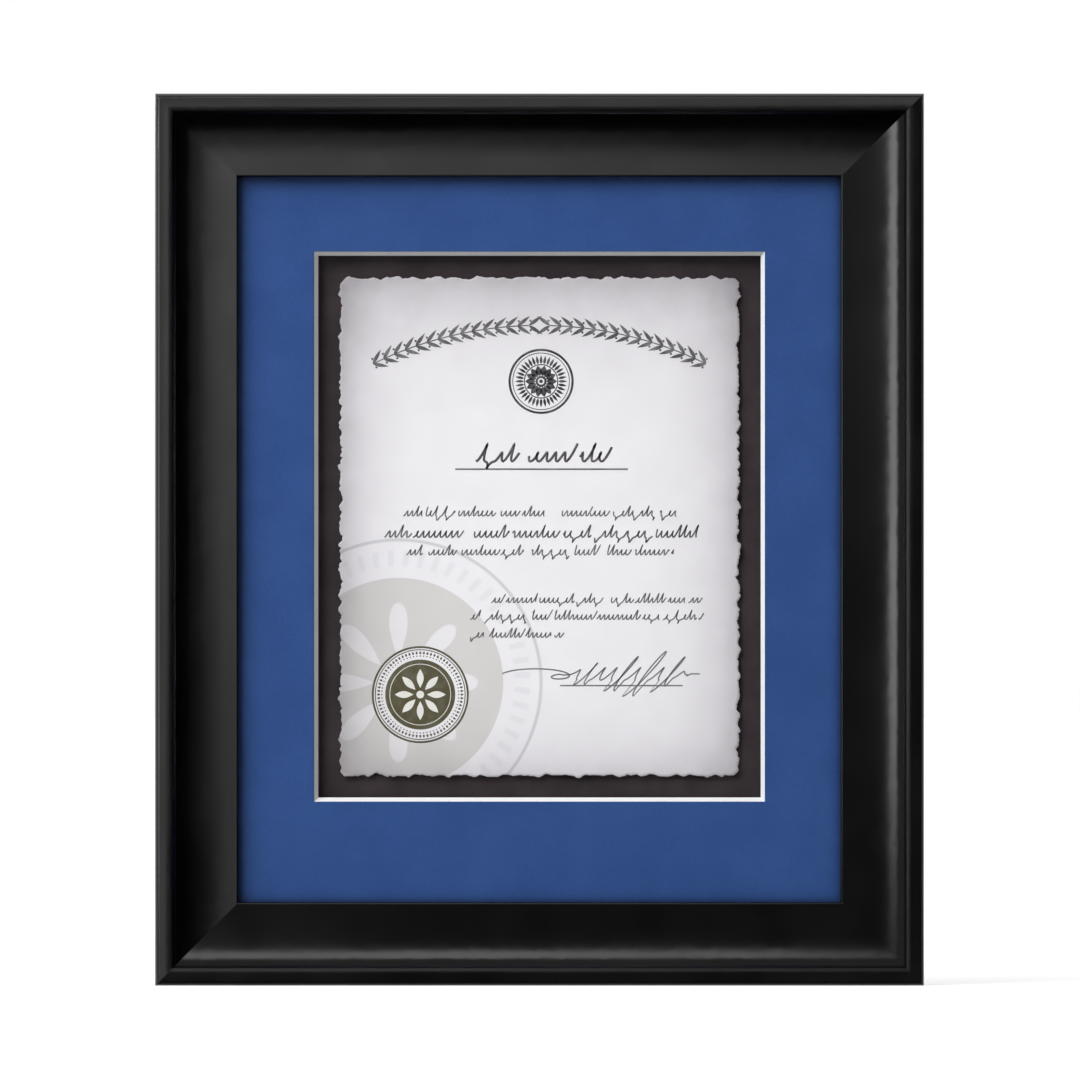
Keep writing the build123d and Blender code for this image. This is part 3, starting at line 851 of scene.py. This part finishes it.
garland, given, result = printTree("Laurel Arch", {
    "Arch Radius": 0.19, "Half Angle": 0.45, "Gap Angle": 0.03,
    "Leaves": 18, "Leaf Length": 9 * mm, "Leaf Width": 3 * mm,
    "Spread": 0.5, "Stem Width": 0.5 * mm,
    "Berry Radius": 0.7 * mm, "Berry Reach": 4 * mm,
})
tree, branchParts = garland, []
leaf = place(tree, leafShape, {"Length": given["Leaf Length"], "Width": given["Leaf Width"]})["Shape"]
leafInk = place(tree, inkFilm, {"Shape": leaf, "Film": given["Film"]})["Shape"]
berryInk = inkDisc(tree, given["Berry Radius"], given["Film"], 14)
for side in (-1, 1):
    begin = calc(tree, "MULTIPLY_ADD", given["Half Angle"], -side, math.pi / 2)
    sweep = times(tree, minus(tree, given["Half Angle"], given["Gap Angle"]), side)
    branch = made(tree, "GeometryNodeCurveArc", {
        "Resolution": 90, "Radius": given["Arch Radius"], "Start Angle": begin, "Sweep Angle": sweep,
    }, mode="RADIUS")
    branchParts.append(strokeAlong(tree, branch, given["Stem Width"], times(tree, given["Film"], 0.8)))
    buds = put(tree, "GeometryNodeCurveToPoints", {
        "Curve": branch, "Count": given["Leaves"],
    }, mode="COUNT").outputs
    along = made(tree, "FunctionNodeAlignRotationToVector", {
        "Vector": buds["Tangent"],
    }, axis="X", pivot_axis="Z")
    for lean in (-1, 1):
        spread = made(tree, "FunctionNodeAxisAngleToRotation", {
            "Axis": (0, 0, 1), "Angle": times(tree, given["Spread"], lean),
        })
        berrySeat = made(tree, "GeometryNodeTransform", {
            "Geometry": berryInk, "Translation": vectorOf(tree, given["Berry Reach"]),
        })
        aim = along
        for shape in (leafInk, berrySeat):      # the berries lean out twice as far as the leaves
            aim = made(tree, "FunctionNodeRotateRotation", {
                "Rotation": aim, "Rotate By": spread,
            }, rotation_space="LOCAL")
            branchParts.append(made(tree, "GeometryNodeInstanceOnPoints", {
                "Points": buds["Points"], "Instance": shape, "Rotation": aim,
            }))
endPrint(tree, joined(tree, *branchParts), given["Material"], result)


# Emblem and seal: rings, beads and rows of petals

emblemPlan = {
    "centre": (0.8, 308.6),
    "Radius": 16.1 * mm,
    "Ring Width": 1.15 * mm,
    "Outer Petals": 36,
    "Inner Petals": 14,
}

emblem, given, result = printTree("Rosette Emblem", {
    "Radius": 16 * mm, "Ring Width": 1 * mm, "Outer Petals": 24, "Inner Petals": 12,
})


def sharesOf(tree, size, *shares):
    return [times(tree, size, share) for share in shares]


tree, radius, film = emblem, given["Radius"], given["Film"]
endPrint(tree, joined(
    tree,
    inkRing(tree, radius, given["Ring Width"], film),
    inkRing(tree, times(tree, radius, 0.9), times(tree, given["Ring Width"], 0.35), film),
    petalRow(tree, given["Outer Petals"], *sharesOf(tree, radius, 0.55, 0.28, 0.085), film),
    inkRing(tree, *sharesOf(tree, radius, 0.53, 0.035), film),
    petalRow(tree, given["Inner Petals"], *sharesOf(tree, radius, 0.17, 0.34, 0.2), film, 0.9),
    inkRing(tree, *sharesOf(tree, radius, 0.14, 0.07), film),
    inkDisc(tree, times(tree, radius, 0.06), film, 24),
), given["Material"], result)

sealPlan = {
    "centre": faintPlan["sealCentre"],
    "Radius": faintPlan["sealRadius"] * mm,
    "Disc Radius": 17.9 * mm,
    "Beads": 72,
}

sealOlive, given, result = printTree("Seal Rings", {"Radius": 24 * mm, "Disc Radius": 18 * mm, "Beads": 72})
tree, radius, film = sealOlive, given["Radius"], given["Film"]
bead = made(tree, "GeometryNodeMeshCircle", {
    "Vertices": 10, "Radius": times(tree, radius, 0.015),
}, fill_type="NGON")
beads = place(tree, roundRow, {
    "Shape": bead, "Count": given["Beads"], "Radius": times(tree, radius, 0.81),
})["Shape"]
endPrint(tree, joined(
    tree,
    inkRing(tree, radius, times(tree, radius, 0.042), film),
    inkRing(tree, *sharesOf(tree, radius, 0.945, 0.02), film),
    place(tree, inkFilm, {"Shape": beads, "Film": film})["Shape"],
    petalRow(tree, given["Beads"], *sharesOf(tree, radius, 0.845, 0.07, 0.045), film),
    inkDisc(tree, given["Disc Radius"], film),
), given["Material"], result)

sealPale, given, result = printTree("Seal Rosette", {"Disc Radius": 18 * mm})
tree, radius, film = sealPale, given["Disc Radius"], given["Film"]
endPrint(tree, joined(
    tree,
    inkRing(tree, *sharesOf(tree, radius, 0.87, 0.02), film),
    petalRow(tree, 8, *sharesOf(tree, radius, 0.19, 0.54, 0.2), film, 1.05),
    inkDisc(tree, times(tree, radius, 0.11), film, 32),
), given["Material"], result)


# Lines: a running wave in word-like groups, with a few tall and a few hanging strokes, so that
# nothing can be read

scriptShape = {
    "step": 0.1,             # of the pitch, between points of the wave
    "wordScale": 0.9,
    "wordWander": 0.8,
    "tallOver": 0.76,        # chances from 0 to 1
    "hangUnder": 0.1,
    "tallReach": 0.95,       # added to a stroke's height, as shares of it
    "hangReach": -1.8,
    "swing": 0.26,
}


def ruledLine(tree, length):
    return made(tree, "GeometryNodeCurvePrimitiveLine", {"End": vectorOf(tree, length)})


def chanceAt(tree, turns, seed):
    # a random value and colour for each whole turn
    whole = plus(tree, calc(tree, "FLOOR", turns), seed)
    return put(tree, "ShaderNodeTexWhiteNoise", {"W": whole}, noise_dimensions="1D").outputs


scriptLine, given, result = printTree("Script Line", {
    "Length": 140 * mm, "Height": 2.4 * mm, "Stroke": 0.45 * mm,
    "Pitch": 2.0 * mm, "Slant": 0.35, "Word": 15 * mm,
    "Gap": 0.14, "Seed": 0.0,
})
tree = scriptLine
ruled = made(tree, "GeometryNodeResampleCurve", {
    "Curve": ruledLine(tree, given["Length"]), "Length": times(tree, given["Pitch"], scriptShape["step"]),
}, mode="LENGTH")
spine = made(tree, "GeometryNodeCurveToMesh", {"Curve": ruled})
x, y, z = split(tree, made(tree, "GeometryNodeInputPosition"))
wordPlace = calc(tree, "DIVIDE", x, given["Word"])
wander = put(tree, "ShaderNodeTexNoise", {
    "W": plus(tree, wordPlace, given["Seed"]), "Scale": scriptShape["wordScale"], "Detail": 0.0,
}, noise_dimensions="1D").outputs["Fac"]
wordShare = calc(tree, "FRACT", calc(tree, "MULTIPLY_ADD", wander, scriptShape["wordWander"], wordPlace))
inGap = calc(tree, "GREATER_THAN", wordShare, minus(tree, 1.0, given["Gap"]))
words = made(tree, "GeometryNodeDeleteGeometry", {"Geometry": spine, "Selection": inGap}, domain="EDGE")
words = made(tree, "GeometryNodeMeshToCurve", {"Mesh": words})
turns = calc(tree, "DIVIDE", x, given["Pitch"])
chance = chanceAt(tree, turns, given["Seed"])
phase = times(tree, turns, 2 * math.pi)
tall = calc(tree, "GREATER_THAN", chance["Value"], scriptShape["tallOver"])
hanging = calc(tree, "LESS_THAN", chance["Value"], scriptShape["hangUnder"])
reach = calc(tree, "MULTIPLY_ADD", hanging, scriptShape["hangReach"], 1.0)
reach = calc(tree, "MULTIPLY_ADD", tall, scriptShape["tallReach"], reach)
rise = calc(tree, "MULTIPLY_ADD", calc(tree, "COSINE", phase), -0.5, 0.5)
high = times(tree, times(tree, rise, reach), given["Height"])
curl = times(tree, split(tree, chance["Color"])[1], scriptShape["swing"])
swing = times(tree, times(tree, calc(tree, "SINE", phase), curl), given["Pitch"])
lean = times(tree, high, given["Slant"])
spot = vectorOf(tree, plus(tree, plus(tree, x, swing), lean), high)
penned = made(tree, "GeometryNodeSetPosition", {"Geometry": words, "Position": spot})
endPrint(tree, strokeAlong(tree, penned, given["Stroke"], given["Film"]), given["Material"], result)

# one straight ruled line from zero along X
ruleLine, given, result = printTree("Rule", {"Length": 80 * mm, "Width": 0.5 * mm})
ruled = ruledLine(ruleLine, given["Length"])
endPrint(ruleLine, strokeAlong(ruleLine, ruled, given["Width"], given["Film"]), given["Material"], result)


# Flourish in place of a signature: a flat opening loop, then quick slanted strokes of which a few are long

flourishPlan = {
    "centre": (-8.0, 159.0),
    "Length": 90 * mm,
    "Height": 23 * mm,
    "Stroke": 0.7 * mm,
    "Strokes": 15.0,
    "Slant": 0.85,
    "Seed": 5.0,
}

# where its parts start and end, as shares of the length, and what else shapes it
flourishShape = {
    "openingEnd": (0.2, 0.3),
    "loopLength": 0.26,
    "loopSize": (-11 * mm, 2.6 * mm),     # half its width and height
    "swellStart": (0.24, 0.34),
    "swellEnd": (0.8, 0.97),
    "longOver": (0.55, 0.95),             # chances from 0 to 1
    "shortest": 0.28,
}

flourish, given, result = printTree("Pen Flourish", {
    "Length": 100 * mm, "Height": 20 * mm, "Stroke": 0.5 * mm,
    "Strokes": 13.0, "Slant": 0.8, "Seed": 0.0,
})
tree = flourish
ruled = made(tree, "GeometryNodeResampleCurve", {"Curve": ruledLine(tree, 1.0), "Count": 520}, mode="COUNT")
run, y, z = split(tree, made(tree, "GeometryNodeInputPosition"))
opening = smooth(tree, run, *flourishShape["openingEnd"], 1.0, 0.0)
swell = times(tree, smooth(tree, run, *flourishShape["swellStart"]),
              smooth(tree, run, *flourishShape["swellEnd"], 1.0, 0.0))
turns = times(tree, run, given["Strokes"])
chance = chanceAt(tree, turns, given["Seed"])["Value"]
isLong = smooth(tree, chance, *flourishShape["longOver"])
long = calc(tree, "MULTIPLY_ADD", isLong, 1 - flourishShape["shortest"], flourishShape["shortest"])
phase = times(tree, turns, 2 * math.pi)
size = times(tree, times(tree, swell, given["Height"]), long)
high = times(tree, calc(tree, "COSINE", phase), times(tree, size, -0.5))
loopTurn = times(tree, run, 2 * math.pi / flourishShape["loopLength"])
loopWide, loopHigh = flourishShape["loopSize"]
openHigh = times(tree, calc(tree, "SINE", loopTurn), times(tree, opening, loopHigh))
openWide = times(tree, calc(tree, "COSINE", loopTurn), times(tree, opening, loopWide))
swing = times(tree, calc(tree, "SINE", phase), times(tree, size, 0.1))
swing = plus(tree, swing, times(tree, high, given["Slant"]))
wide = calc(tree, "MULTIPLY_ADD", run, given["Length"], swing)
spot = vectorOf(tree, plus(tree, wide, openWide), plus(tree, high, openHigh))
penned = made(tree, "GeometryNodeSetPosition", {"Geometry": ruled, "Position": spot})
endPrint(tree, strokeAlong(tree, penned, given["Stroke"], given["Film"]), given["Material"], result)


def inkOf(name, tone, worn):
    # ink that sinks a little unevenly into the paper
    material, tree, spot = newMaterial(name)
    fibre = fibreOf(tree, spot, 1500.0, 180.0)
    patchy = smooth(tree, fibre["Cloud"], 0.35, 0.75, 0.0, worn)
    colour = between(tree, patchy, inkLook[tone], inkLook["worn"])
    roughFinish(tree, colour, 0.72, fibre["Height"], 0.2, 0.03 * mm, 0.25)
    return material


# how much of each ink is worn
inkWear = {"dark": 0.2, "soft": 0.35, "line": 0.3, "grey": 0.3, "olive": 0.12, "pale": 0.15}
inks = {tone: inkOf(tone + "Ink", tone, worn) for tone, worn in inkWear.items()}

# left end, baseline and length in mm, then letter height, stroke, pitch, word length, gap and seed
linePlans = {
    "name_line": (-32.5, 267.6, 66.0, 4.8, 1.3, 4.6, 33.0, 0.12, 3.0),
    "line_first": (-69.6, 239.7, 139.5, 2.7, 0.68, 2.4, 17.0, 0.12, 11.0),
    "line_second": (-79.3, 228.8, 159.5, 3.3, 0.8, 2.9, 25.0, 0.1, 23.0),
    "line_third": (-68.1, 219.8, 136.5, 2.7, 0.68, 2.4, 18.0, 0.12, 35.0),
    "line_fourth": (-24.7, 195.4, 107.0, 2.5, 0.66, 2.3, 16.0, 0.12, 41.0),
    "line_fifth": (-35.5, 186.8, 118.0, 2.5, 0.66, 2.3, 18.0, 0.12, 57.0),
    "line_sixth": (-35.5, 177.6, 47.0, 2.5, 0.66, 2.3, 17.0, 0.12, 66.0),
}
rulePlans = {"name_rule": (-43.1, 263.7, 88.3, 0.9), "signature_rule": (10.5, 153.0, 62.7, 0.75)}


def layPrint(name, group, plan, tone, proud=0.0):
    values = {label: value for label, value in plan.items() if label != "centre"}
    values.update({"Film": inkLook["film"], "Material": inks[tone]})
    addPiece(grown(group, name, values, plan["centre"], proud), name)


layPrint("laurel_arch", garland, garlandPlan, "soft")
layPrint("rosette_emblem", emblem, emblemPlan, "dark")
layPrint("seal_rings", sealOlive, sealPlan, "olive")
rosettePlan = {"centre": sealPlan["centre"], "Disc Radius": sealPlan["Disc Radius"]}
layPrint("seal_rosette", sealPale, rosettePlan, "pale", inkLook["film"])
for name, (left, base, length, height, stroke, pitch, word, gap, seed) in linePlans.items():
    plan = {
        "centre": (left, base), "Length": length * mm, "Height": height * mm, "Stroke": stroke * mm,
        "Pitch": pitch * mm, "Slant": 0.4, "Word": word * mm, "Gap": gap, "Seed": seed,
    }
    layPrint(name, scriptLine, plan, "soft" if name in ("name_line", "line_second") else "line")
for name, (left, high, length, width) in rulePlans.items():
    layPrint(name, ruleLine, {"centre": (left, high), "Length": length * mm, "Width": width * mm}, "grey")
layPrint("pen_flourish", flourish, flourishPlan, "grey")
print("print laid on the sheet")


# Stage: a pale floor, soft lamps and the camera

stage = {
    "floorSize": 24.0,
    "floorGrey": 0.35,
    "floorGlow": 0.7,       # near the object; it rises to 1 between these distances
    "floorFade": (0.6, 2.2),
    "ambient": 0.26,        # what the room adds to plain shading
    "roomDim": 0.045,       # what gloss sees away from the camera
    "roomBeside": 0.3,      # what it sees square to the left and straight up
    "roomBright": 1.2,      # what it sees low to the right, just off the camera
}

# where the room's parts start and end, in terms of a direction of length 1
roomEdges = {
    "behind": (-0.1, 0.3),
    "lowRight": (0.06, 0.11),
    "nearAxis": (-0.98, -0.93),
    "upLeft": (0.06, 0.2),
    "left": (-0.9, -0.66),
    "up": (0.66, 0.9),
}


def buildFloor():
    half = stage["floorSize"] / 2
    mesh = bpy.data.meshes.new("floor")
    corners = [(-half, -half, 0), (half, -half, 0), (half, half, 0), (-half, half, 0)]
    mesh.from_pydata(corners, [], [(0, 1, 2, 3)])
    floor = bpy.data.objects.new("floor", mesh)
    bpy.context.scene.collection.objects.link(floor)
    material, tree, spot = newMaterial("paleFloor")
    far = put(tree, "ShaderNodeVectorMath", {0: spot}, operation="LENGTH").outputs["Value"]
    glow = smooth(tree, far, *stage["floorFade"], stage["floorGlow"], 1.0)
    path = put(tree, "ShaderNodeLightPath").outputs
    plain = made(tree, "ShaderNodeBsdfDiffuse", {"Color": [stage["floorGrey"]] * 3 + [1]})
    light = made(tree, "ShaderNodeEmission", {"Strength": times(tree, glow, path["Is Camera Ray"])})
    both = made(tree, "ShaderNodeAddShader", {0: plain, 1: light})
    put(tree, "ShaderNodeOutputMaterial", {"Surface": both})
    mesh.materials.append(material)
    floor.visible_glossy = False


def buildRoom():
    world = bpy.data.worlds.new("room")
    bpy.context.scene.world = world
    world.use_nodes = True
    tree = world.node_tree
    tree.nodes.clear()
    way = put(tree, "ShaderNodeTexCoord").outputs["Generated"]
    x, y, z = split(tree, way)
    behind = smooth(tree, y, *roomEdges["behind"])
    lowRight = smooth(tree, minus(tree, x, z), *roomEdges["lowRight"])
    nearAxis = smooth(tree, y, *roomEdges["nearAxis"], 1.0, 0.0)
    front = times(tree, times(tree, lowRight, nearAxis), stage["roomBright"])
    upLeft = smooth(tree, minus(tree, z, x), *roomEdges["upLeft"], 0.0, stage["roomDim"])
    farLeft = smooth(tree, x, *roomEdges["left"], 1.0, 0.0)
    farOff = calc(tree, "MAXIMUM", farLeft, smooth(tree, z, *roomEdges["up"]))
    beside = times(tree, farOff, stage["roomBeside"])
    seen = calc(tree, "MAXIMUM", calc(tree, "MAXIMUM", behind, beside), calc(tree, "MAXIMUM", front, upLeft))
    path = put(tree, "ShaderNodeLightPath").outputs
    plainly = calc(tree, "GREATER_THAN", path["Diffuse Depth"], 0.5)
    glossy = calc(tree, "MAXIMUM", path["Is Glossy Ray"], path["Is Transmission Ray"])
    strength = calc(tree, "MULTIPLY_ADD", glossy, seen, path["Is Camera Ray"])
    strength = times(tree, strength, minus(tree, 1.0, plainly))
    strength = calc(tree, "MULTIPLY_ADD", plainly, stage["ambient"], strength)
    background = made(tree, "ShaderNodeBackground", {"Color": (1, 1, 1, 1), "Strength": strength})
    put(tree, "ShaderNodeOutputWorld", {"Surface": background})
    # what a ray sees depends on its kind, so the room isn't sampled as a lamp
    world.cycles.sampling_method = "NONE"


# way, distance, size, glow, and whether the lamp adds to plain shading or shows in gloss;
# glow is what the lamp's own face would read, where white is 1
lamps = {
    "keyUpperLeft": ((-1.45, -1, 1.8), 3.4, (2.6, 2.6), 10.2, "plain"),
    "fillRight": ((1.5, -1, -0.5), 3.4, (1.6, 1.6), 5.2, "plain"),
    "boxLeft": ((-0.53, -0.72, 0.149), 1.088, (0.3, 0.685), 4.6, "gloss"),
    "boxAbove": ((-0.12, -0.72, 0.5), 1.06, (0.66, 0.28), 2.7, "gloss"),
    "cardLeft": ((-0.5, -1.4, 0.3), 1.52, (0.6, 0.6), 0.22, "gloss"),
    "cardRight": ((0.9, -3, 0.35), 3.152, (0.62, 0.74), 1.18, "gloss"),
    "dimRight": ((1.55, -2.9, 0.5), 3.326, (0.65, 1.0), 0.3, "gloss"),
    "cardBelow": ((-0.3, -3, -0.84), 3.13, (0.84, 0.34), 1.2, "gloss"),
    "dimBelow": ((-0.4, -2.9, -1.3), 3.203, (1.0, 0.55), 0.42, "gloss"),
    "backLeft": ((-0.6, 1, 0.5), 1.8, (1.0, 1.0), 4.0, "plain and gloss"),
    "backRight": ((0.9, 1, 0.7), 1.8, (1.0, 1.0), 3.0, "plain and gloss"),
}


def buildLamps():
    middle = (cadBox[0] + cadBox[1]) / 2
    for name, (way, far, size, glow, adds) in lamps.items():
        way = Vector(way).normalized()
        data = bpy.data.lights.new(name, "AREA")
        data.shape = "RECTANGLE"
        data.size, data.size_y = size
        data.energy = glow * math.pi * data.size * data.size_y
        lamp = bpy.data.objects.new(name, data)
        bpy.context.scene.collection.objects.link(lamp)
        lamp.location = middle + way * far
        lamp.rotation_euler = (-way).to_track_quat("-Z", "Y").to_euler()
        lamp.visible_glossy = "gloss" in adds
        lamp.visible_diffuse = "plain" in adds
        lamp.visible_camera = False


cameraPlan = {
    "far": 8.0,
    "fieldAcross": 0.5510,            # how much of the frame's front plane the picture spans
    "centre": (539.5, 539.6),         # where the middle of the frame lies in the 1080 pixel picture
    "picture": 1080,
    "sensor": 36.0,
}


def buildCamera():
    data = bpy.data.cameras.new("camera")
    data.sensor_width = cameraPlan["sensor"]
    data.lens = data.sensor_width * cameraPlan["far"] / cameraPlan["fieldAcross"]
    camera = bpy.data.objects.new("camera", data)
    bpy.context.scene.collection.objects.link(camera)
    pixel = cameraPlan["fieldAcross"] / cameraPlan["picture"]
    across = (cameraPlan["picture"] / 2 - cameraPlan["centre"][0]) * pixel
    down = (cameraPlan["picture"] / 2 - cameraPlan["centre"][1]) * pixel
    camera.location = (across, cadBox[0].y - cameraPlan["far"], (cadBox[0].z + cadBox[1].z) / 2 - down)
    camera.rotation_euler = (math.radians(90), 0, 0)
    bpy.context.scene.camera = camera


buildFloor()
buildRoom()
buildLamps()
buildCamera()
bpy.context.scene.view_settings.view_transform = "Standard"
print("stage set")
